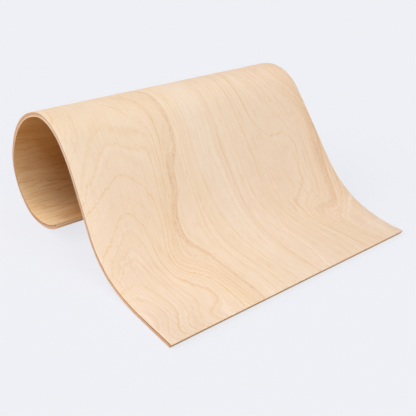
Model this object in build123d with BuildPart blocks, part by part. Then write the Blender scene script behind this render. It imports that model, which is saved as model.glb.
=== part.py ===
from build123d import *
import os
from math import cos, degrees, radians, sin

# A three-ply bending plywood sheet that has sprung into an open curl, in millimetres.
# X runs across the sheet, from its near long edge to its far one. Y runs from the flat toe to
# the back of the curl, and Z is up. The origin is on the floor, in the middle of the footprint.
#
# Each long edge is a chain of runs in the YZ plane. It starts with the flat toe. Foot bends
# lift it into a straight ramp, and a shoulder levels it. Three more bends then take it over,
# down and back under itself, to the free end. The ramp is steeper at the near edge than at
# the far one. Below the slope that they share, both edges turn through the same headings, so the
# straight lines across the sheet join points that face the same way, as on a real bent sheet.

os.makedirs("parts", exist_ok=True)

# The flat stock
SHEET_WIDTH = 325.0
SHEET_LENGTH = 600.0
FACE_PLY = 1.6
CORE_PLY = 1.8
BACK_PLY = 1.6
THICKNESS = FACE_PLY + CORE_PLY + BACK_PLY

# The toe's end is sawn at a slant, so its top edge lies further forward than its underside, from
# which all lengths along the sheet are measured
TOE_UNDERCUT = 3.7

# The rise to the curl. All radii are to the middle of the thickness, and angles are in degrees.
FOOT_SWEEP = 16.0
NEAR_FOOT_RADII = (155.0, 74.0)
NEAR_LAST_FOOT_RADIUS = 68.0
FAR_FOOT_RADII = (175.0, 130.0)
SHARED_SLOPE = 49.0
NEAR_SLOPE = 66.0
FAR_SLOPE = 51.0
NEAR_BROW_RADIUS = 130.0

# The curl, which both edges share from the shoulder on
SHOULDER_RADIUS = 58.0
CURL_START = 239.0
CURL_START_HEADING = -12.0
CREST_RADIUS = 131.0
CREST_SWEEP = -55.0
NOSE_RADIUS = 49.0
NOSE_SWEEP = -111.0
TAIL_RADIUS = 113.0


def bend(radius, sweep):
    """A bend as its developed length and its turn, where a turn to the left is positive."""
    return radius * radians(abs(sweep)), sweep


def travel(runs, heading=0.0):
    """The level distance and the rise along a chain of runs that starts at a heading."""
    level = 0.0
    rise = 0.0
    for length, turn in runs:
        before = radians(heading)
        after = radians(heading + turn)
        if turn == 0:
            level += length * cos(before)
            rise += length * sin(before)
        else:
            signed_radius = length / radians(turn)
            level += signed_radius * (sin(after) - sin(before))
            rise += signed_radius * (cos(before) - cos(after))
        heading += turn
    return level, rise


SHOULDER = bend(SHOULDER_RADIUS, CURL_START_HEADING - SHARED_SLOPE)
CREST = bend(CREST_RADIUS, CREST_SWEEP)
NOSE = bend(NOSE_RADIUS, NOSE_SWEEP)

# Each edge bends on past the shared slope to its own, and back to it above the ramp. The near
# edge turns much further, and beside it the far edge takes the same length.
LAST_FOOT_LENGTH, _ = bend(NEAR_LAST_FOOT_RADIUS, NEAR_SLOPE - SHARED_SLOPE)
BROW_LENGTH, _ = bend(NEAR_BROW_RADIUS, NEAR_SLOPE - SHARED_SLOPE)

# The sheet heads straight back along the floor at the curl's lowest line, inside the tail bend
TAIL_START_HEADING = CURL_START_HEADING + CREST_SWEEP + NOSE_SWEEP
TAIL_TO_FLOOR = bend(TAIL_RADIUS, -180.0 - TAIL_START_HEADING)
CURL_START_HEIGHT = -travel([CREST, NOSE, TAIL_TO_FLOOR], CURL_START_HEADING)[1]

# The sheet heads straight down at its rearmost line, inside the nose bend
CREST_END_HEADING = CURL_START_HEADING + CREST_SWEEP
NOSE_TO_BACK = bend(NOSE_RADIUS, -90.0 - CREST_END_HEADING)
CURL_REACH = travel([CREST, NOSE_TO_BACK], CURL_START_HEADING)[0]
FOOTPRINT_DEPTH = TOE_UNDERCUT + CURL_START + CURL_REACH + THICKNESS / 2
TOE_TIP = -FOOTPRINT_DEPTH / 2
UNDERSIDE_TIP = TOE_TIP + TOE_UNDERCUT


def edge_runs(foot_radii, slope):
    """The toe's length at one long edge, and the runs from there to the free end."""
    extra = slope - SHARED_SLOPE
    gentle_bend = bend(foot_radii[0], FOOT_SWEEP)
    tight_bend = bend(foot_radii[1], SHARED_SLOPE - FOOT_SWEEP)
    foot = [gentle_bend, tight_bend, (LAST_FOOT_LENGTH, extra)]
    brow_and_shoulder = [(BROW_LENGTH, -extra), SHOULDER]
    foot_level, foot_rise = travel(foot)
    shoulder_level, shoulder_rise = travel(brow_and_shoulder, slope)
    # The ramp is as long as it must be for the curl to come down to the floor again
    ramp = (CURL_START_HEIGHT - foot_rise - shoulder_rise) / sin(radians(slope))
    toe = CURL_START - foot_level - shoulder_level - ramp * cos(radians(slope))
    runs = [*foot, (ramp, 0.0), *brow_and_shoulder, CREST, NOSE]
    # Both edges have the same developed length, and the tail takes what is left of it
    tail = SHEET_LENGTH - toe - sum(length for length, _ in runs)
    runs.append((tail, -degrees(tail / TAIL_RADIUS)))
    return toe, runs


def end_point(edge, toe, runs):
    """The free end of one long edge, in the middle of the thickness."""
    level, rise = travel(runs)
    return Vector(edge, UNDERSIDE_TIP + toe + level, THICKNESS / 2 + rise)


NEAR_TOE, NEAR_RUNS = edge_runs(NEAR_FOOT_RADII, NEAR_SLOPE)
FAR_TOE, FAR_RUNS = edge_runs(FAR_FOOT_RADII, FAR_SLOPE)
NEAR_EDGE = -SHEET_WIDTH / 2
FAR_EDGE = SHEET_WIDTH / 2

# The free end runs askew across the curl, because the two tails differ in length. Both are drawn
# with one bend that is too long for either, and the end is sawn off square to the sheet.
SAW_WASTE = 5.0
UNCUT_TAIL_LENGTH = FAR_RUNS[-1][0] + SAW_WASTE
UNCUT_TAIL = (UNCUT_TAIL_LENGTH, -degrees(UNCUT_TAIL_LENGTH / TAIL_RADIUS))
CUT_LENGTH = UNCUT_TAIL_LENGTH - NEAR_RUNS[-1][0] + SAW_WASTE
CUT_HEIGHT = 3 * THICKNESS
CUT_WIDTH = SHEET_WIDTH + 2 * SAW_WASTE
NEAR_END = end_point(NEAR_EDGE, NEAR_TOE, NEAR_RUNS)
FAR_END = end_point(FAR_EDGE, FAR_TOE, FAR_RUNS)
END_HEADING = (sum(turn for _, turn in NEAR_RUNS) + sum(turn for _, turn in FAR_RUNS)) / 2
ACROSS_END = FAR_END - NEAR_END
THROUGH_END = Vector(0, -sin(radians(END_HEADING)), cos(radians(END_HEADING)))
SAW_PLANE = Plane((NEAR_END + FAR_END) / 2, x_dir=ACROSS_END, z_dir=THROUGH_END.cross(ACROSS_END))


def draw_line(start, runs, offset):
    """Draw a lengthwise line of an edge, offset from the middle of the thickness to the face."""
    first_point = Vector(start, THICKNESS / 2 + offset)
    point = first_point
    direction = Vector(1, 0)
    for length, turn in runs:
        if turn == 0:
            line = PolarLine(point, length, direction=direction)
        else:
            middle_radius = length / radians(abs(turn))
            radius = middle_radius - offset if turn > 0 else middle_radius + offset
            line = JernArc(point, direction, radius, turn)
        point = line @ 1
        direction = line % 1
    return first_point, point


def bent_section(edge, toe, runs, upper, lower):
    """The section of one ply at a long edge, from the toe's end to past the free end."""
    drawn_runs = [*runs[:-1], UNCUT_TAIL]
    with BuildSketch(Plane.YZ.offset(edge)) as section:
        with BuildLine():
            upper_start, upper_end = draw_line(UNDERSIDE_TIP + toe, drawn_runs, upper)
            lower_start, lower_end = draw_line(UNDERSIDE_TIP + toe, drawn_runs, lower)
            Line(upper_start, lower_start)
            Line(upper_end, lower_end)
        make_face()
    return section.sketch


def toe_outline(lower):
    """The flat toe in plan, on the underside of one ply."""
    with BuildSketch(Plane.XY.offset(THICKNESS / 2 + lower)) as outline:
        with BuildLine():
            Polyline(
                (NEAR_EDGE, TOE_TIP),
                (FAR_EDGE, TOE_TIP),
                (FAR_EDGE, UNDERSIDE_TIP + FAR_TOE),
                (NEAR_EDGE, UNDERSIDE_TIP + NEAR_TOE),
                close=True,
            )
        make_face()
    return outline.sketch


def undercut_outline():
    """The wedge that the slanted saw cut takes off below the toe's top edge."""
    with BuildSketch(Plane.YZ.offset(NEAR_EDGE - SAW_WASTE)) as outline:
        with BuildLine():
            Polyline(
                (TOE_TIP - TOE_UNDERCUT, 2 * THICKNESS),
                (TOE_TIP - TOE_UNDERCUT, -THICKNESS),
                (UNDERSIDE_TIP + TOE_UNDERCUT, -THICKNESS),
                close=True,
            )
        make_face()
    return outline.sketch


def saw_outline():
    """The end of the block that is sawn off at the free end."""
    with BuildSketch(SAW_PLANE) as outline:
        Rectangle(CUT_WIDTH, CUT_HEIGHT)
    return outline.sketch


def add_ply(upper, lower):
    """Add one ply between its two offsets from the middle of the thickness."""
    near_section = bent_section(NEAR_EDGE, NEAR_TOE, NEAR_RUNS, upper, lower)
    far_section = bent_section(FAR_EDGE, FAR_TOE, FAR_RUNS, upper, lower)
    loft([near_section, far_section], ruled=True)
    extrude(saw_outline(), amount=CUT_LENGTH, mode=Mode.SUBTRACT)
    extrude(toe_outline(lower), amount=upper - lower)
    extrude(undercut_outline(), amount=CUT_WIDTH, mode=Mode.SUBTRACT)


# Where one ply ends and the next begins, as offsets from the middle of the thickness
FACE_SIDE = THICKNESS / 2
FACE_GLUE_LINE = FACE_SIDE - FACE_PLY
BACK_GLUE_LINE = FACE_GLUE_LINE - CORE_PLY
BACK_SIDE = -THICKNESS / 2

# The face veneer is the outside of the curl, and the curl rests on it
with BuildPart() as face_veneer:
    add_ply(FACE_SIDE, FACE_GLUE_LINE)

# The core veneer is glued between the two others
with BuildPart() as core_veneer:
    add_ply(FACE_GLUE_LINE, BACK_GLUE_LINE)

# The back veneer lines the inside of the curl, and the flat toe rests on it
with BuildPart() as back_veneer:
    add_ply(BACK_GLUE_LINE, BACK_SIDE)

face_veneer.part.label = "face_veneer"
core_veneer.part.label = "core_veneer"
back_veneer.part.label = "back_veneer"

export_step(face_veneer.part, "parts/face_veneer.step")
export_step(core_veneer.part, "parts/core_veneer.step")
export_step(back_veneer.part, "parts/back_veneer.step")
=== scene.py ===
from math import cos, exp, pi, radians, sin

import bpy
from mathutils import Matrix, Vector


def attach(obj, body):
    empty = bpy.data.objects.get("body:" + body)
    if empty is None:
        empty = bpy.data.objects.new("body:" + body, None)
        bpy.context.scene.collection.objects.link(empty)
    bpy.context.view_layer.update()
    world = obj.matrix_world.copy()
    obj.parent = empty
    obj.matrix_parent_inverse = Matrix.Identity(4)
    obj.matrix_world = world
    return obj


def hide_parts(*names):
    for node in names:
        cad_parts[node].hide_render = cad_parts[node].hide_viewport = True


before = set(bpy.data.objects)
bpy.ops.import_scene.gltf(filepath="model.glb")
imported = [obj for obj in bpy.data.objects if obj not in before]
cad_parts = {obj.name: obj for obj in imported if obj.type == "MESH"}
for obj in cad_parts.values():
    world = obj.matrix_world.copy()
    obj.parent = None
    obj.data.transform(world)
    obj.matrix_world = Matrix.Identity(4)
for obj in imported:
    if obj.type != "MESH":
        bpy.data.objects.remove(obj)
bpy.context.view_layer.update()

MM = 0.001

# The flat stock
SHEET_WIDTH = 325.0 * MM
SHEET_LENGTH = 600.0 * MM
FACE_PLY = 1.6 * MM
CORE_PLY = 1.8 * MM
BACK_PLY = 1.6 * MM
THICKNESS = FACE_PLY + CORE_PLY + BACK_PLY

# The toe's end is sawn at a slant: how far its top edge lies beyond the line that all lengths
# are measured from, and how far the underside's edge stays back from the top one
TOE_UNDERCUT = 3.7 * MM
TOE_LEAN = 3.0 * MM

# The bends of the sheet, as radius to the middle of the thickness and as angles in radians
FOOT_SWEEP = radians(16.0)
NEAR_FOOT_RADII = (155.0 * MM, 74.0 * MM)
NEAR_LAST_FOOT_RADIUS = 68.0 * MM
FAR_FOOT_RADII = (175.0 * MM, 130.0 * MM)
SHARED_SLOPE = radians(49.0)
NEAR_SLOPE = radians(66.0)
FAR_SLOPE = radians(51.0)
NEAR_BROW_RADIUS = 130.0 * MM
SHOULDER_RADIUS = 58.0 * MM
CURL_START = 239.0 * MM
CURL_START_HEADING = radians(-12.0)
CREST_RADIUS = 131.0 * MM
CREST_SWEEP = radians(-55.0)
NOSE_RADIUS = 49.0 * MM
NOSE_SWEEP = radians(-111.0)
TAIL_RADIUS = 113.0 * MM

# How finely a veneer is divided before it is bent, and how its sawn arrises are rounded
ROW_LENGTH = 2.5 * MM
COLUMN_WIDTH = 13.0 * MM
ARRIS = 0.15 * MM
ARRIS_SEGMENTS = 2
SMOOTH_BELOW = radians(35.0)

# Points of the flat blank that lie this near its toe end move with the slanted cut
TOE_END_REACH = 1.0 * MM

# The studio. The floor glow is how much of the floor that the camera sees is its own flat colour.
BACKDROP_SHADE = (238, 239, 244)
FLOOR_SIZE = 12.0
FLOOR_GLOW = 0.87
SKY_STRENGTH = 0.12
LAMP_SOFTNESS = radians(50.0)

# Each lamp's name, its strength, its tilt from straight above and its turn, in degrees
LAMPS = (
    ("top", 1.02, 0.0, 0.0),
    ("near_side", 0.64, 60.0, -90.0),
    ("front", 1.35, 60.0, 0.0),
    ("behind", 1.50, 50.0, -135.0),
)

# The camera. Its heading is measured from +Y to the right, and its dip from the level down.
CAMERA_PLACE = (-0.3823, -0.51115, 0.3571)
CAMERA_HEADING = radians(37.40)
CAMERA_DIP = radians(28.20)
CAMERA_LENS = 51.92
CAMERA_SENSOR = 36.0


def bend(radius, sweep):
    """A bend as its developed length and its turn, where a turn to the left is positive."""
    return radius * abs(sweep), sweep


def travel_one(length, turn, heading):
    """The level distance, the rise and the new heading over one run."""
    after = heading + turn
    if turn == 0.0:
        return length * cos(heading), length * sin(heading), after
    radius = length / turn
    return radius * (sin(after) - sin(heading)), radius * (cos(heading) - cos(after)), after


def travel(runs, heading=0.0):
    """The level distance and the rise along a chain of runs that starts at a heading."""
    level = 0.0
    rise = 0.0
    for length, turn in runs:
        step, climb, heading = travel_one(length, turn, heading)
        level += step
        rise += climb
    return level, rise


SHOULDER = bend(SHOULDER_RADIUS, CURL_START_HEADING - SHARED_SLOPE)
CREST = bend(CREST_RADIUS, CREST_SWEEP)
NOSE = bend(NOSE_RADIUS, NOSE_SWEEP)
LAST_FOOT_LENGTH, _ = bend(NEAR_LAST_FOOT_RADIUS, NEAR_SLOPE - SHARED_SLOPE)
BROW_LENGTH, _ = bend(NEAR_BROW_RADIUS, NEAR_SLOPE - SHARED_SLOPE)
TAIL_START_HEADING = CURL_START_HEADING + CREST_SWEEP + NOSE_SWEEP
TAIL_TO_FLOOR = bend(TAIL_RADIUS, -pi - TAIL_START_HEADING)
CURL_START_HEIGHT = -travel([CREST, NOSE, TAIL_TO_FLOOR], CURL_START_HEADING)[1]
NOSE_TO_BACK = bend(NOSE_RADIUS, -pi / 2 - CURL_START_HEADING - CREST_SWEEP)
CURL_REACH = travel([CREST, NOSE_TO_BACK], CURL_START_HEADING)[0]
TOE_TIP = -(TOE_UNDERCUT + CURL_START + CURL_REACH + THICKNESS / 2) / 2
UNDERSIDE_TIP = TOE_TIP + TOE_UNDERCUT


def edge_runs(foot_radii, slope):
    """The runs of one long edge, each a developed length and a turn, from toe to free end."""
    extra = slope - SHARED_SLOPE
    foot = [
        bend(foot_radii[0], FOOT_SWEEP),
        bend(foot_radii[1], SHARED_SLOPE - FOOT_SWEEP),
        (LAST_FOOT_LENGTH, extra),
    ]
    brow_and_shoulder = [(BROW_LENGTH, -extra), SHOULDER]
    foot_level, foot_rise = travel(foot)
    shoulder_level, shoulder_rise = travel(brow_and_shoulder, slope)
    ramp = (CURL_START_HEIGHT - foot_rise - shoulder_rise) / sin(slope)
    toe = CURL_START - foot_level - shoulder_level - ramp * cos(slope)
    runs = [(toe, 0.0), *foot, (ramp, 0.0), *brow_and_shoulder, CREST, NOSE]
    tail = SHEET_LENGTH - sum(length for length, _ in runs)
    runs.append((tail, -tail / TAIL_RADIUS))
    return runs


class LongEdge:
    """One long edge of the sheet, which finds a place along it by run and by share of the run."""

    def __init__(self, runs):
        self.runs = runs
        self.starts = []
        level, rise, heading, passed = UNDERSIDE_TIP, THICKNESS / 2, 0.0, 0.0
        for length, turn in runs:
            self.starts.append((level, rise, heading, passed))
            step, climb, heading = travel_one(length, turn, heading)
            level += step
            rise += climb
            passed += length

    def place(self, run, share, depth, reach=None):
        """The level place and height, depth out of the middle, and the developed length so far."""
        length, turn = self.runs[run]
        if reach is not None:
            turn *= reach / length
            length = reach
        level, rise, heading, passed = self.starts[run]
        step, climb, heading = travel_one(length * share, turn * share, heading)
        return (
            level + step - depth * sin(heading),
            rise + climb + depth * cos(heading),
            passed + length * share,
        )


NEAR_EDGE = LongEdge(edge_runs(NEAR_FOOT_RADII, NEAR_SLOPE))
FAR_EDGE = LongEdge(edge_runs(FAR_FOOT_RADII, FAR_SLOPE))
MEAN_LENGTHS = [(near[0] + far[0]) / 2 for near, far in zip(NEAR_EDGE.runs, FAR_EDGE.runs)]
LAST_RUN = len(MEAN_LENGTHS) - 1


def bend_point(flat):
    """Where a point of the flat blank goes, and its true place on the flat sheet."""
    x, along, depth = flat
    across = x / SHEET_WIDTH + 0.5
    run = 0
    rest = min(max(along, 0.0), SHEET_LENGTH)
    while run < LAST_RUN and rest > MEAN_LENGTHS[run]:
        rest -= MEAN_LENGTHS[run]
        run += 1
    share = rest / MEAN_LENGTHS[run]
    if run == LAST_RUN:
        near_tail = NEAR_EDGE.runs[run][0]
        far_tail = FAR_EDGE.runs[run][0]
        tail = near_tail + (far_tail - near_tail) * across
        y, z, _ = NEAR_EDGE.place(run, share, depth, tail)
        length = SHEET_LENGTH - tail * (1.0 - share)
        return Vector((x, y, z)), Vector((x, length, depth))
    near = NEAR_EDGE.place(run, share, depth)
    far = FAR_EDGE.place(run, share, depth)
    y, z, length = (a + (b - a) * across for a, b in zip(near, far))
    if along < TOE_END_REACH:
        slant = TOE_UNDERCUT - TOE_LEAN * (0.5 - depth / THICKNESS)
        return Vector((x, y - slant, z)), Vector((x, length - slant, depth))
    return Vector((x, y, z)), Vector((x, length, depth))


def select_only(piece):
    """Selects one object and nothing else."""
    bpy.ops.object.select_all(action="DESELECT")
    piece.select_set(True)
    bpy.context.view_layer.objects.active = piece


def apply_modifier(piece, kind, **settings):
    """Adds a modifier to a piece with its settings, and applies it."""
    select_only(piece)
    modifier = piece.modifiers.new(kind.title(), kind)
    for name, value in settings.items():
        setattr(modifier, name, value)
    bpy.ops.object.modifier_apply(modifier=modifier.name)


def make_veneer(name, upper, lower):
    """One veneer between its two depths, cut flat from a grid, given its thickness and bent."""
    rows = round(SHEET_LENGTH / ROW_LENGTH)
    columns = round(SHEET_WIDTH / COLUMN_WIDTH)
    bpy.ops.object.select_all(action="DESELECT")
    bpy.ops.mesh.primitive_grid_add(x_subdivisions=columns, y_subdivisions=rows, size=1.0)
    veneer = bpy.context.object
    veneer.name = name
    bpy.ops.object.mode_set(mode="EDIT")
    bpy.ops.mesh.select_all(action="SELECT")
    flat_size = (SHEET_WIDTH, SHEET_LENGTH, 1.0)
    bpy.ops.transform.resize(value=flat_size, center_override=(0.0, 0.0, 0.0))
    bpy.ops.transform.translate(value=(0.0, SHEET_LENGTH / 2, upper))
    bpy.ops.object.mode_set(mode="OBJECT")
    apply_modifier(veneer, "SOLIDIFY", thickness=upper - lower, offset=-1.0)
    apply_modifier(veneer, "BEVEL", width=ARRIS, segments=ARRIS_SEGMENTS, limit_method="ANGLE")
    sheet_place = veneer.data.attributes.new("sheet_place", "FLOAT_VECTOR", "POINT")
    for vertex, place in zip(veneer.data.vertices, sheet_place.data):
        vertex.co, place.vector = bend_point(vertex.co)
    select_only(veneer)
    bpy.ops.object.shade_smooth_by_angle(angle=SMOOTH_BELOW)
    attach(veneer, "root")
    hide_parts(name)
    return veneer


face_veneer = make_veneer("face_veneer", THICKNESS / 2, THICKNESS / 2 - FACE_PLY)
core_veneer = make_veneer("core_veneer", CORE_PLY / 2, -CORE_PLY / 2)
back_veneer = make_veneer("back_veneer", -THICKNESS / 2 + BACK_PLY, -THICKNESS / 2)


def paint(red, green, blue):
    """A colour as seen on a screen, 0 to 255, turned into the shader's own scale."""
    shades = []
    for shade in (red, green, blue):
        part = shade / 255.0
        shades.append(part / 12.92 if part < 0.04045 else ((part + 0.055) / 1.055) ** 2.4)
    return (*shades, 1.0)


class Reading:
    """A value read over a surface, whose arithmetic adds Math nodes to the finish it is part of."""

    def __init__(self, finish, socket):
        self.finish = finish
        self.socket = socket

    def __add__(self, other):
        return self.finish.math("ADD", self, other)

    def __sub__(self, other):
        return self.finish.math("SUBTRACT", self, other)

    def __mul__(self, other):
        return self.finish.math("MULTIPLY", self, other)

    def __truediv__(self, other):
        return self.finish.math("DIVIDE", self, other)

    def __rtruediv__(self, other):
        return self.finish.math("DIVIDE", other, self)

    def __rpow__(self, other):
        return self.finish.math("POWER", other, self)

    def __abs__(self):
        return self.finish.math("ABSOLUTE", self, 0.0)


class Finish:
    """A material or the sky as it is built up, node by node."""

    def __init__(self, owner, shader_name):
        owner.use_nodes = True
        self.owner = owner
        self.tree = owner.node_tree
        self.shader = self.tree.nodes[shader_name]

    def node(self, kind, output, settings, inputs):
        """Adds a node with its settings and inputs, and reads one of its outputs. A colour
        ramp's settings are its stops, each a position and a shade."""
        node = self.tree.nodes.new(kind)
        for name, value in settings.items():
            if name == "stops":
                stops = node.color_ramp.elements
                while len(stops) < len(value):
                    stops.new(0.5)
                for stop, (position, shade) in zip(stops, value):
                    stop.position = position
                    stop.color = shade
            else:
                setattr(node, name, value)
        self.connect(node, inputs)
        return Reading(self, node.outputs[output])

    def connect(self, node, inputs):
        """Joins each input to a reading, or sets it to a constant."""
        for name, value in inputs.items():
            if isinstance(value, Reading):
                self.tree.links.new(value.socket, node.inputs[name])
            else:
                node.inputs[name].default_value = value

    def math(self, operation, first, second):
        """Works out one value from two."""
        return self.node("ShaderNodeMath", 0, {"operation": operation}, {0: first, 1: second})

    def vector(self, operation, first, second):
        """Works out one vector from two."""
        return self.node(
            "ShaderNodeVectorMath", 0, {"operation": operation}, {0: first, 1: second}
        )

    def mix(self, factor, first, second, blend="MIX"):
        """Blends two colours."""
        settings = {"data_type": "RGBA", "blend_type": blend}
        return self.node("ShaderNodeMix", 2, settings, {0: factor, 6: first, 7: second})

    def part(self, place, axis):
        """One part of a vector, X, Y or Z."""
        return self.node("ShaderNodeSeparateXYZ", axis, {}, {0: place})

    def noise(self, place, stretch, detail=2.0, start=0.0):
        """Even noise between about -0.5 and 0.5, with so many waves to the millimetre each way."""
        scaled = self.vector("MULTIPLY", place, stretch)
        shifted = self.vector("ADD", scaled, (start, start * 0.7, start * 0.3))
        inputs = {"Vector": shifted, "Scale": 1.0, "Detail": detail, "Roughness": 0.55}
        return self.node("ShaderNodeTexNoise", 0, {}, inputs) - 0.5

    def step(self, value, low, high):
        """0 below the low value, 1 above the high one and a smooth rise between them."""
        settings = {"interpolation_type": "SMOOTHSTEP"}
        inputs = {"Value": value, "From Min": low, "From Max": high}
        return self.node("ShaderNodeMapRange", 0, settings, inputs)

    def ramp(self, value, low, high, shades):
        """A colour that changes with a value, from shades given at some of its levels."""
        inputs = {"Value": value, "From Min": low, "From Max": high}
        share = self.node("ShaderNodeMapRange", 0, {}, inputs)
        stops = [((level - low) / (high - low), paint(*shade)) for level, shade in shades]
        return self.node("ShaderNodeValToRGB", 0, {"stops": stops}, {0: share})

    def tint(self, colour, strength, shade):
        """Multiplies a colour by a shade, 0 to 255, as far as the strength says."""
        return self.mix(strength, colour, paint(*shade), "MULTIPLY")


def new_finish(name):
    """A new material's finish."""
    return Finish(bpy.data.materials.new(name), "Principled BSDF")


# Where the log swells or thins as the lathe's knife passes: the middle across the sheet and along
# it, the half width, the half length and how far it carries the rings to the left, in millimetres
SWELLINGS = (
    (-153, 7, 55, 19, 15),
    (-19, 29, 32, 73, -19),
    (123, 39, 28, 65, 113),
    (-82, 49, 20, 113, -18),
    (57, 52, 23, 77, -22),
    (118, 55, 34, 96, -140),
    (109, 71, 16, 25, 35),
    (176, 88, 24, 120, -37),
    (-82, 96, 19, 31, 27),
    (-181, 110, 32, 42, 64),
    (86, 123, 14, 17, -9),
    (-66, 136, 16, 34, 16),
    (-149, 153, 21, 33, 25),
    (85, 158, 22, 39, -19),
    (-168, 176, 13, 48, 19),
    (144, 176, 14, 35, 11),
    (102, 181, 42, 120, 69),
    (121, 195, 51, 65, -83),
    (-111, 199, 75, 39, 86),
    (-99, 200, 57, 39, -74),
    (128, 205, 10, 25, 13),
    (-38, 232, 15, 108, -26),
    (-139, 247, 55, 39, 18),
    (98, 256, 23, 47, -25),
    (-67, 257, 17, 120, -20),
    (-70, 281, 13, 50, 13),
    (-181, 309, 45, 114, 101),
    (155, 314, 75, 50, -38),
    (-119, 319, 42, 69, 28),
    (-70, 430, 34, 60, 22),
    (60, 435, 38, 60, -26),
    (-125, 530, 40, 60, 38),
    (95, 545, 34, 60, 30),
    (10, 520, 30, 50, -14),
)

# The growth rings that show as thin lines: how far across the sheet each would run if the log had
# no swellings, how strong it is, and its half width, with both lengths in millimetres
RINGS = (
    (-150, 0.4, 0.8),
    (-140, 0.4, 0.8),
    (-130, 0.95, 0.8),
    (-120, 0.5, 0.7),
    (-110, 0.6, 0.7),
    (-103, 0.9, 0.75),
    (-98, 0.25, 0.7),
    (-94, 0.4, 0.7),
    (-90.5, 0.3, 0.7),
    (-87, 1.0, 0.8),
    (-81, 0.7, 0.75),
    (-78, 0.5, 0.6),
    (-74, 0.8, 0.7),
    (-71, 0.35, 0.6),
    (-68, 0.7, 0.7),
    (-64, 0.4, 0.6),
    (-58, 0.7, 0.6),
    (-47, 0.4, 0.7),
    (-38, 0.35, 0.8),
    (-16, 0.6, 0.9),
    (-2, 0.3, 0.6),
    (8, 0.35, 0.7),
    (21, 0.45, 1.2),
    (31, 0.5, 0.8),
    (38, 0.5, 0.7),
    (57, 0.5, 0.8),
    (62, 0.3, 0.7),
    (74, 1.05, 0.8),
    (80, 0.4, 0.8),
    (88, 0.55, 0.8),
    (97, 0.55, 0.8),
    (112, 0.5, 0.8),
    (120, 0.8, 0.8),
)

# The rings along which the brown streak and the fainter one near the right side run
STREAK_LEVEL = -58.0
SECOND_STREAK_LEVEL = 108.0

# The least steepness of the rings that a line's width is worked out from. Where they spread out
# more than that, the line widens.
LEAST_STEEPNESS = 0.12

# The face's tones, by the ring that shows, from the left side of the figure to the right
LEFTMOST_TONE = -165.0
RIGHTMOST_TONE = 165.0
FACE_TONES = (
    (-165, (246, 224, 201)),
    (-130, (244, 221, 196)),
    (-105, (243, 219, 193)),
    (-88, (242, 218, 192)),
    (-75, (240, 216, 189)),
    (-60, (239, 214, 186)),
    (-52, (242, 220, 196)),
    (-30, (240, 217, 190)),
    (-12, (241, 220, 198)),
    (8, (241, 221, 199)),
    (18, (239, 216, 191)),
    (28, (240, 218, 195)),
    (55, (239, 216, 191)),
    (75, (239, 217, 193)),
    (96, (240, 217, 194)),
    (108, (238, 214, 189)),
    (150, (241, 220, 198)),
)

# How each ply looks along the sawn sides, by the distance from the toe in millimetres: partly the
# # ply's own colour and partly painted light and shade, lighter or darker by the stretch of the
# bend
FACE_SIDE_SHADES_WITH_PAINTED_LIGHT = (
    (0, (182, 130, 90)),
    (190, (190, 142, 104)),
    (240, (200, 154, 122)),
    (290, (206, 160, 126)),
    (330, (224, 182, 144)),
    (600, (216, 178, 150)),
)
CORE_SIDE_SHADES_WITH_PAINTED_LIGHT = (
    (0, (224, 182, 144)),
    (150, (226, 184, 148)),
    (215, (242, 218, 192)),
    (285, (242, 220, 198)),
    (320, (210, 168, 136)),
    (420, (212, 174, 146)),
    (600, (214, 176, 148)),
)
BACK_SIDE_SHADES_WITH_PAINTED_LIGHT = (
    (0, (220, 180, 144)),
    (170, (216, 178, 146)),
    (260, (222, 188, 156)),
    (310, (240, 206, 168)),
    (400, (232, 196, 160)),
    (450, (182, 132, 104)),
    (600, (186, 136, 106)),
)

# How each ply looks at the toe's end and at the free end. Both are end grain, and the free end's
# # shade is paler as painted light against the shadow that end lies in.
FACE_END_SHADES = ((190, 150, 102), (214, 172, 132))
CORE_END_SHADES = ((198, 158, 110), (230, 196, 160))
BACK_END_SHADES = ((184, 144, 96), (222, 184, 146))

# The streaks of a sawn side where the ply's grain runs along it, and the ticks where it runs
# across, as waves to the millimetre across, along and through the sheet
ALONG_GRAIN_STREAKS = (0.0, 0.10, 3.0)
CROSS_GRAIN_TICKS = (0.0, 0.8, 0.45)

# How far from a sawn edge its look begins and how near it is full, and the same for a glue line
# on either side of the joint, in millimetres
SAWN_START = 0.16
SAWN_FULL = 0.06
GLUE_START = 0.20
GLUE_FULL = 0.06

# The rings of the inner veneer, in millimetres
BACK_RING_SPACING = 13.0
BACK_RING_HALF_WIDTH = 0.7


def sheet_place(finish):
    """The place on the flat sheet in millimetres: across, along and out of the middle."""
    settings = {"attribute_type": "GEOMETRY", "attribute_name": "sheet_place"}
    metres = finish.node("ShaderNodeAttribute", "Vector", settings, {})
    return finish.vector("MULTIPLY", metres, (1.0 / MM, 1.0 / MM, 1.0 / MM))


def growth_field(finish, place):
    """Which ring of the log shows at a place, how steeply that changes over the sheet, and how
    far the rings run askew to the grain."""
    flat = finish.vector("MULTIPLY", place, (1.0, 1.0, 0.0))
    field = finish.part(place, "X")
    slope = (1.0, 0.0, 0.0)
    for across, along, half_width, half_length, height in SWELLINGS:
        shifted = finish.vector("SUBTRACT", flat, (across, along, 0.0))
        steps = finish.vector("MULTIPLY", shifted, (1.0 / half_width, 1.0 / half_length, 0.0))
        settings = {"operation": "DOT_PRODUCT"}
        distance = finish.node("ShaderNodeVectorMath", "Value", settings, {0: steps, 1: steps})
        swell = exp(-1.0) ** distance * height
        field = field + swell
        change = finish.vector("MULTIPLY", steps, (-2.0 / half_width, -2.0 / half_length, 0.0))
        inputs = {0: change, "Scale": swell}
        scaled = finish.node("ShaderNodeVectorMath", 0, {"operation": "SCALE"}, inputs)
        slope = finish.vector("ADD", scaled, slope)
    length = finish.node("ShaderNodeVectorMath", "Value", {"operation": "LENGTH"}, {0: slope})
    steepness = finish.math("MAXIMUM", length, LEAST_STEEPNESS)
    return field, steepness, abs(finish.part(slope, "Y")) / steepness


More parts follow.
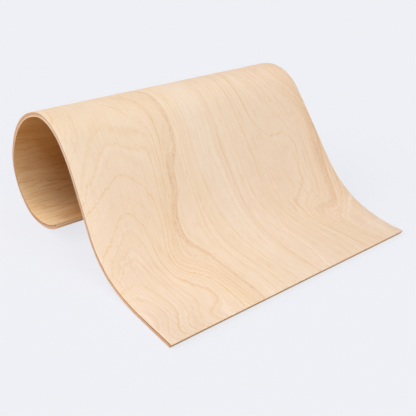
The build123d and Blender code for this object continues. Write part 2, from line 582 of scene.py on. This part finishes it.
def sawn_masks(finish, place):
    """Where a long sawn edge shows, and where a sawn end does."""
    across = abs(finish.part(place, "X"))
    along = finish.part(place, "Y")
    middle_undercut = (TOE_UNDERCUT - TOE_LEAN / 2) / MM
    slant = finish.part(place, "Z") * (TOE_LEAN / THICKNESS) + middle_undercut
    side_reach = SHEET_WIDTH / MM / 2
    free_end = SHEET_LENGTH / MM
    side = finish.step(across, side_reach - SAWN_START, side_reach - SAWN_FULL)
    toe_end = finish.step(along + slant, SAWN_START, SAWN_FULL)
    curl_end = finish.step(along, free_end - SAWN_START, free_end - SAWN_FULL)
    return side, finish.math("MAXIMUM", toe_end, curl_end)


def sawn_colour(finish, place, colour, side_shades_with_painted_light, end_shades, grain_along):
    """Adds the look of the sawn edges to a ply's colour, by which way its grain runs, with painted
    light and shade along the sides and painted light at the free end.
    """
    side, end = sawn_masks(finish, place)
    along = finish.part(place, "Y")
    depth = finish.part(place, "Z")
    side_stretch = ALONG_GRAIN_STREAKS if grain_along else CROSS_GRAIN_TICKS
    side_noise = finish.noise(place, side_stretch, 3.0, 11.0)
    end_noise = finish.noise(place, (0.5, 0.0, 1.2), 3.0, 23.0)
    long_wave = finish.noise(place, (0.03, 0.03, 0.0), 1.0, 5.0)
    glue = finish.step(abs(abs(depth) - CORE_PLY / MM / 2), GLUE_START, GLUE_FULL)
    side_marks = finish.step(side_noise, -0.05, 0.25)
    # Painted light and shade along the side, by the stretch of the bend, over the ply's own colour
    side_tone_with_painted_light = finish.ramp(along, 0.0, SHEET_LENGTH / MM, side_shades_with_painted_light)
    side_tone_with_painted_light = finish.tint(side_tone_with_painted_light, side_marks, (238, 226, 214))
    side_tone_with_painted_light = finish.tint(side_tone_with_painted_light, finish.step(long_wave, -0.1, 0.2), (246, 240, 234))
    side_tone_with_painted_light = finish.tint(side_tone_with_painted_light, glue * 0.7, (200, 172, 150))
    # The free end's shade is paler than the toe's as painted light against the shadow it lies in
    toe_shade, painted_light_tail_shade = end_shades
    end_tone = finish.mix(finish.step(along, 10.0, 20.0), paint(*toe_shade), paint(*painted_light_tail_shade))
    end_tone = finish.tint(end_tone, finish.step(end_noise, -0.05, 0.25), (236, 224, 212))
    end_tone = finish.tint(end_tone, glue * 0.5, (210, 186, 166))
    colour = finish.mix(side, colour, side_tone_with_painted_light)
    return finish.mix(end, colour, end_tone)


def face_tone_and_painted_light(finish, across, along, ragged_field):
    """The face's broad tones: by ring, then painted shade that darkens it to the right, over the
    foot and the ramp, over the crest, at the toe, at the foot beside the near edge and along the
    right edge, and painted light that makes it paler beside the near edge of the ramp."""
    colour = finish.ramp(ragged_field, LEFTMOST_TONE, RIGHTMOST_TONE, FACE_TONES)
    # Painted shade: darker towards the right, over the foot and the ramp, over the crest and at the
    # toe
    colour = finish.tint(colour, finish.step(across, -90.0, 175.0), (249, 246, 243))
    colour = finish.tint(colour, finish.step(along, 230.0, 90.0), (252, 251, 251))
    colour = finish.tint(colour, finish.step(along, 260.0, 292.0), (249, 249, 250))
    colour = finish.tint(colour, finish.step(along, 75.0, 30.0), (252, 253, 254))
    # Painted shade at the foot beside the near edge
    painted_foot_shade = finish.step(across, -60.0, -160.0) * finish.step(along, 150.0, 90.0)
    colour = finish.tint(colour, painted_foot_shade, (245, 243, 243))
    # Painted light: paler beside the near edge of the ramp
    painted_ramp_edge_light = finish.step(across, -120.0, -158.0) * finish.step(along, 125.0, 165.0)
    painted_ramp_edge_light = painted_ramp_edge_light * finish.step(along, 250.0, 215.0)
    colour = finish.mix(painted_ramp_edge_light * 0.4, colour, paint(255, 235, 211))
    # Painted shade along the right edge
    painted_right_edge_shade = finish.step(across, 130.0, 165.0) * finish.step(along, 60.0, 90.0)
    return finish.tint(colour, painted_right_edge_shade, (254, 249, 242))


def ring_lines(finish, place, ragged_field, inverse):
    """The thin growth rings, each as wide on the sheet as its half width says."""
    over_slope = ragged_field * inverse
    lines = 0.0
    for level, strength, half_width in RINGS:
        offset = over_slope - inverse * level
        line = exp(-1.0 / half_width**2) ** (offset * offset)
        lines = line * strength + lines
    patchy = finish.noise(place, (0.05, 0.035, 0.0), 1.0, 17.0)
    return finish.math("MINIMUM", lines * (patchy * 1.3 + 0.98), 1.0)


def add_streaks(finish, colour, place, along, field, inverse):
    """Adds the two brown streaks along the grain, with their dark flecks."""
    ripple = finish.noise(place, (0.5, 0.12, 0.0), 2.0, 67.0) * 1.3
    offset = (field - STREAK_LEVEL) * inverse + ripple
    width = finish.step(along, 90.0, 140.0) * 3.0 + 2.6
    streak = finish.step(offset + width, -1.6, 1.4) * finish.step(offset, 1.0, -0.4)
    # The second one is wider, and fades in and out
    second_offset = (field - SECOND_STREAK_LEVEL) * inverse + ripple
    second = finish.step(abs(second_offset), 8.0, 2.0) * finish.step(along, 225.0, 175.0)
    second = second * finish.step(along, 60.0, 90.0)
    speck = finish.step(finish.noise(place, (0.8, 0.25, 0.0), 3.0, 71.0), -0.02, 0.22)
    colour = finish.tint(colour, streak, (251, 246, 241))
    colour = finish.tint(colour, streak * speck, (241, 232, 224))
    colour = finish.tint(colour, second, (251, 247, 242))
    return finish.tint(colour, second * speck, (246, 239, 232))


def face_birch():
    """The outer veneer: pale rotary-cut birch with the rings of a swelling log."""
    finish = new_finish("face_birch")
    place = sheet_place(finish)
    field, steepness, askew = growth_field(finish, place)
    across = finish.part(place, "X")
    along = finish.part(place, "Y")
    wavy = finish.noise(place, (0.10, 0.05, 0.0), 2.0, 3.0) * (askew * 8.0 + 1.2)
    ragged = finish.noise(place, (0.34, 0.10, 0.0), 3.0, 7.0) * (askew * 12.0 + 0.7)
    ragged_field = field + (wavy + ragged) * steepness
    inverse = 1.0 / steepness
    colour = face_tone_and_painted_light(finish, across, along, ragged_field)
    lines = ring_lines(finish, place, ragged_field, inverse)

    # Fainter rings between the thin ones
    ring_place = finish.node("ShaderNodeCombineXYZ", 0, {}, {0: ragged_field, 1: along, 2: 0.0})
    faint = finish.noise(ring_place, (0.55, 0.008, 0.0), 2.0, 29.0)
    colour = finish.tint(colour, finish.step(faint, 0.0, 0.30), (252, 247, 239))
    colour = finish.mix(finish.step(faint, 0.0, -0.28) * 0.3, colour, paint(247, 231, 215))

    # Fibres along the grain, and short flecks and dashes between them
    fibre = finish.noise(place, (1.0, 0.04, 0.0), 3.0, 41.0)
    colour = finish.tint(colour, finish.step(fibre, 0.0, 0.34), (249, 242, 233))
    colour = finish.mix(finish.step(fibre, -0.02, -0.32) * 0.35, colour, paint(247, 231, 215))
    fleck = finish.noise(place, (1.3, 0.22, 0.0), 2.0, 53.0)
    colour = finish.tint(colour, finish.step(fleck, 0.06, 0.28), (249, 243, 235))
    dash = finish.noise(place, (1.2, 0.07, 0.0), 1.0, 57.0)
    dash = finish.step(dash, 0.11, 0.28) * finish.step(across, -75.0, -40.0)
    colour = finish.tint(colour, dash, (248, 240, 230))
    mottle = finish.noise(place, (0.09, 0.05, 0.0), 3.0, 61.0)
    colour = finish.tint(colour, finish.step(mottle, -0.05, 0.3), (253, 251, 248))
    colour = finish.tint(colour, lines, (251, 239, 214))
    colour = add_streaks(finish, colour, place, along, field, inverse)
    colour = sawn_colour(
        finish, place, colour, FACE_SIDE_SHADES_WITH_PAINTED_LIGHT, FACE_END_SHADES, grain_along=True
    )
    relief = fibre * 0.6 + fleck * 0.4 - lines * 0.25
    finish_wood(finish, colour, relief, fibre)
    return finish.owner


def finish_wood(finish, colour, relief, fibre):
    """Connects a wood's colour, and gives it the dry sheen and the fine relief of sanding."""
    inputs = {"Strength": 0.25, "Distance": 0.4 * MM, "Height": relief}
    bump = finish.node("ShaderNodeBump", 0, {}, inputs)
    roughness = fibre * 0.12 + 0.68
    finish.connect(
        finish.shader,
        {
            "Base Color": colour,
            "Roughness": roughness,
            "Normal": bump,
            "Specular IOR Level": 0.10,
        },
    )


def core_birch():
    """The middle veneer, seen only at the sawn edges."""
    finish = new_finish("core_birch")
    place = sheet_place(finish)
    fibre = finish.noise(place, (0.045, 0.85, 0.3), 3.0, 43.0)
    fibre_share = finish.step(fibre, -0.3, 0.3)
    colour = finish.mix(fibre_share, paint(238, 214, 186), paint(222, 192, 158))
    colour = sawn_colour(
        finish, place, colour, CORE_SIDE_SHADES_WITH_PAINTED_LIGHT, CORE_END_SHADES, grain_along=False
    )
    finish_wood(finish, colour, fibre, fibre)
    return finish.owner


def back_birch():
    """The inner veneer: warmer wood with brown streaks along the curl's axis."""
    finish = new_finish("back_birch")
    place = sheet_place(finish)
    across = finish.part(place, "X")
    along = finish.part(place, "Y")
    bands = finish.noise(place, (0.008, 0.060, 0.0), 3.0, 83.0)
    wobble = finish.noise(place, (0.016, 0.014, 0.0), 2.0, 85.0) * 46.0
    ragged = finish.noise(place, (0.09, 0.35, 0.0), 3.0, 87.0) * 5.0
    fibre = finish.noise(place, (0.03, 0.8, 0.0), 3.0, 91.0)
    fleck = finish.noise(place, (0.16, 1.1, 0.0), 2.0, 93.0)
    patchy = finish.noise(place, (0.030, 0.04, 0.0), 2.0, 95.0)
    vein = finish.noise(place, (0.022, 0.30, 0.0), 2.0, 97.0)
    row = finish.math("FRACT", (along + wobble + ragged) * (1.0 / BACK_RING_SPACING), 0.0)
    offset = (row - 0.5) * BACK_RING_SPACING
    ring = exp(-1.0 / BACK_RING_HALF_WIDTH**2) ** (offset * offset)
    ring = ring * finish.step(patchy, -0.08, 0.2)
    band_share = finish.step(bands, -0.28, 0.28)
    colour = finish.mix(band_share, paint(248, 220, 178), paint(240, 206, 162))

    # Painted shade of the hollow: browner round the top of the curl, further in from the near edge
    #     # and near the free end, where the inside of the curl lies in shade
    painted_hollow_shade = finish.step(across, -150.0, -100.0) * 0.6 + finish.step(along, 510.0, 390.0)
    painted_hollow_shade = painted_hollow_shade + finish.step(along, 530.0, 560.0) * finish.step(across, -150.0, -135.0) * 0.4
    painted_hollow_shade = finish.math("MINIMUM", painted_hollow_shade, 1.0) * finish.step(along, 220.0, 330.0)
    colour = finish.tint(colour, painted_hollow_shade, (204, 168, 124))
    colour = finish.tint(colour, finish.step(fibre, -0.1, 0.34), (240, 226, 206))
    colour = finish.tint(colour, finish.step(fleck, 0.05, 0.30), (242, 228, 208))
    colour = finish.tint(colour, finish.step(vein, 0.04, 0.26), (241, 222, 196))
    colour = finish.tint(colour, ring, (240, 212, 174))
    colour = sawn_colour(
        finish, place, colour, BACK_SIDE_SHADES_WITH_PAINTED_LIGHT, BACK_END_SHADES, grain_along=False
    )
    finish_wood(finish, colour, fibre - ring * 0.2, fibre)
    return finish.owner


def backdrop_rays(finish):
    """1 for a ray from the camera, off a glossy surface or through a clear one, and 0 otherwise."""
    camera_ray = finish.node("ShaderNodeLightPath", "Is Camera Ray", {}, {})
    glossy_ray = finish.node("ShaderNodeLightPath", "Is Glossy Ray", {}, {})
    clear_ray = finish.node("ShaderNodeLightPath", "Is Transmission Ray", {}, {})
    return finish.math("MAXIMUM", finish.math("MAXIMUM", camera_ray, glossy_ray), clear_ray)


def plain_paint(name, shade):
    """A matt paint that the camera sees mostly as its own flat colour, with the shadow on it."""
    finish = new_finish(name)
    matt = {"Base Color": shade, "Roughness": 0.9, "Specular IOR Level": 0.0}
    finish.connect(finish.shader, matt)
    seen = backdrop_rays(finish)
    glow = finish.node("ShaderNodeEmission", 0, {}, {"Color": shade, "Strength": 1.0})
    painted = Reading(finish, finish.shader.outputs["BSDF"])
    mixed = finish.node("ShaderNodeMixShader", 0, {}, {0: seen * FLOOR_GLOW, 1: painted, 2: glow})
    finish.connect(finish.tree.nodes["Material Output"], {"Surface": mixed})
    return finish.owner


face_veneer.data.materials.append(face_birch())
core_veneer.data.materials.append(core_birch())
back_veneer.data.materials.append(back_birch())

bpy.ops.object.select_all(action="DESELECT")
bpy.ops.mesh.primitive_plane_add(size=FLOOR_SIZE, location=(0.0, 0.0, 0.0))
floor = bpy.context.object
floor.name = "floor"
floor.data.materials.append(plain_paint("floor_paint", paint(*BACKDROP_SHADE)))

world = bpy.data.worlds.new("studio")
bpy.context.scene.world = world
sky = Finish(world, "Background")
sky_seen = backdrop_rays(sky)
sky_colour = sky.mix(sky_seen, (1.0, 1.0, 1.0, 1.0), paint(*BACKDROP_SHADE))
sky_strength = sky_seen * (1.0 - SKY_STRENGTH) + SKY_STRENGTH
sky.connect(sky.shader, {"Color": sky_colour, "Strength": sky_strength})

for name, energy, tilt, turn in LAMPS:
    lamp_data = bpy.data.lights.new(name, "SUN")
    lamp_data.energy = energy
    lamp_data.angle = LAMP_SOFTNESS
    lamp = bpy.data.objects.new(name, lamp_data)
    bpy.context.collection.objects.link(lamp)
    lamp.rotation_euler = (radians(tilt), 0.0, radians(turn))

camera_data = bpy.data.cameras.new("camera")
camera_data.lens = CAMERA_LENS
camera_data.sensor_width = CAMERA_SENSOR
camera = bpy.data.objects.new("camera", camera_data)
bpy.context.collection.objects.link(camera)
camera.location = CAMERA_PLACE
camera.rotation_euler = (pi / 2 - CAMERA_DIP, 0.0, -CAMERA_HEADING)
bpy.context.scene.camera = camera
bpy.context.scene.view_settings.view_transform = "Standard"
